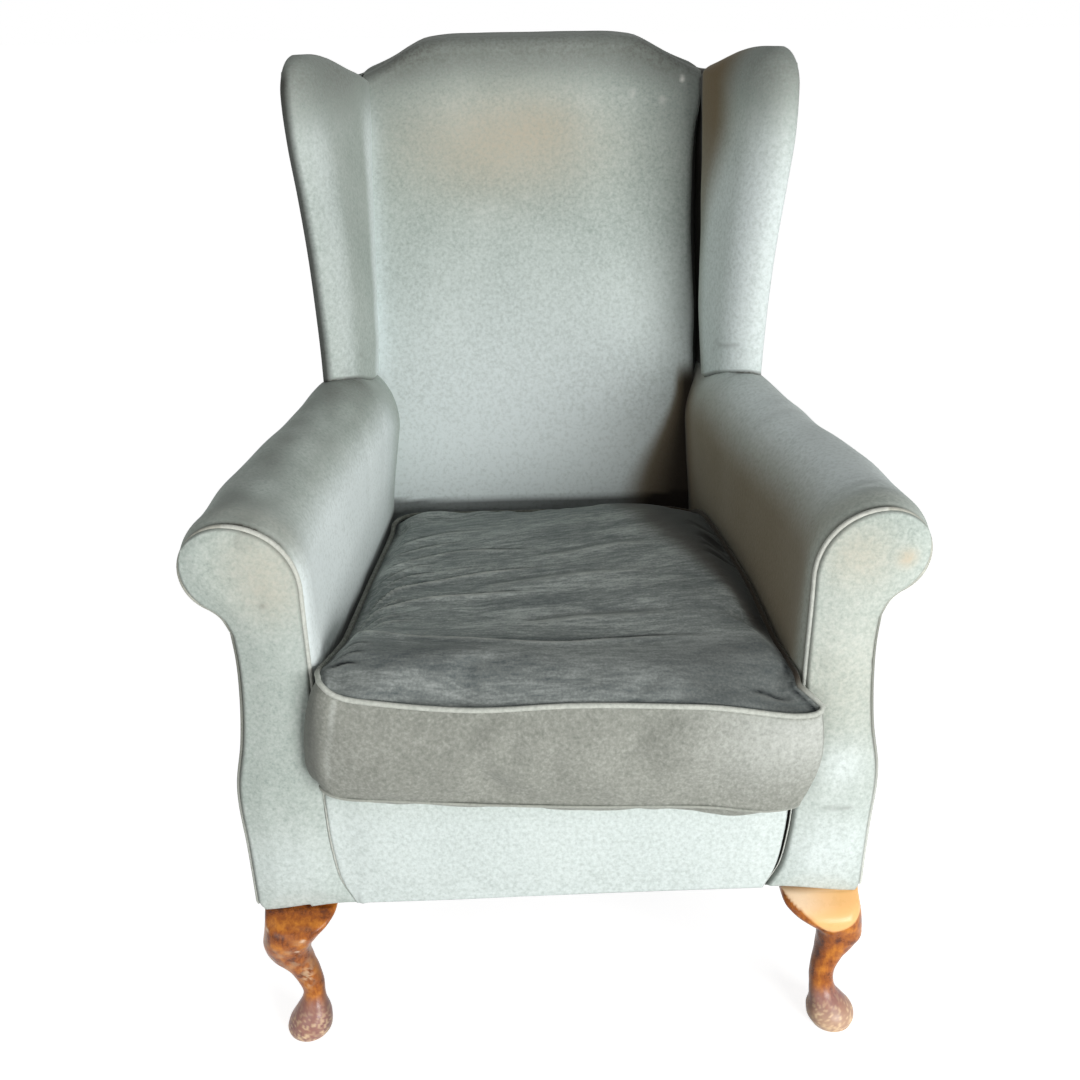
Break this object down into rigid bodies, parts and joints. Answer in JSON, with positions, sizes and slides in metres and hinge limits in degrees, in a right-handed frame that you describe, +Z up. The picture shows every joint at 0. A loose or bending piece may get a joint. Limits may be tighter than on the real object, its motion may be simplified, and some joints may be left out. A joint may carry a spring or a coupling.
{
  "type": "wing armchair",
  "caption": "Worn wing-back fireside armchair with scroll arms, a slumped loose seat cushion and short cabriole front legs, in faded grey-green pile upholstery.",
  "frame": {"origin": "middle of the bounding box in X and Y, on the floor", "axes": "+Z up, the chair faces -Y, +X is on the right of someone looking at its front"},
  "size_m": [0.7606, 0.871, 1.041],
  "materials": {
    "velour": "cut pile upholstery velour, grey-green, faded and rubbed",
    "velour_piping": "the same velour cut on the bias over a cord",
    "deck_cloth": "plain woven platform cloth",
    "dust_cloth": "black woven bottoming cloth",
    "jute_webbing": "woven jute webbing",
    "raw_beech": "sawn beech",
    "stained_beech": "stained and polished beech, worn and chipped",
    "spring_steel": "oil tempered wire",
    "glide_steel": "worn nickel plate"
  },
  "bodies": {
    "root": {"front_rail": "raw_beech", "rear_rail": "raw_beech", "crest_rail": "raw_beech", "lower_back_rail": "raw_beech", "side_rail_left": "raw_beech", "arm_stump_left": "raw_beech", "arm_board_left": "raw_beech", "arm_tacking_rail_left": "raw_beech", "wing_post_left": "raw_beech", "wing_rail_left": "raw_beech", "front_corner_block_left": "raw_beech", "rear_corner_block_left": "raw_beech", "back_post_left": "stained_beech", "front_leg_left": "stained_beech", "inside_arm_left": "velour", "outside_arm_left": "velour", "arm_facing_left": "velour", "inside_wing_left": "velour", "outside_wing_left": "velour", "arm_piping_left": "velour_piping", "leg_bolt_left": "spring_steel", "front_glide_left": "glide_steel", "rear_glide_left": "glide_steel", "side_rail_right": "raw_beech", "arm_stump_right": "raw_beech", "arm_board_right": "raw_beech", "arm_tacking_rail_right": "raw_beech", "wing_post_right": "raw_beech", "wing_rail_right": "raw_beech", "front_corner_block_right": "raw_beech", "rear_corner_block_right": "raw_beech", "back_post_right": "stained_beech", "front_leg_right": "stained_beech", "inside_arm_right": "velour", "outside_arm_right": "velour", "arm_facing_right": "velour", "inside_wing_right": "velour", "outside_wing_right": "velour", "arm_piping_right": "velour_piping", "leg_bolt_right": "spring_steel", "front_glide_right": "glide_steel", "rear_glide_right": "glide_steel", "inside_back": "velour", "outside_back": "velour", "front_border": "velour", "seat_cushion": "velour", "seat_platform": "deck_cloth", "dust_cover": "dust_cloth", "seat_spring_1": "spring_steel", "seat_spring_2": "spring_steel", "seat_spring_3": "spring_steel", "seat_spring_4": "spring_steel", "seat_spring_5": "spring_steel", "back_webbing_1": "jute_webbing", "back_webbing_2": "jute_webbing", "back_webbing_3": "jute_webbing", "back_webbing_4": "jute_webbing"}
  },
  "joints": []
}
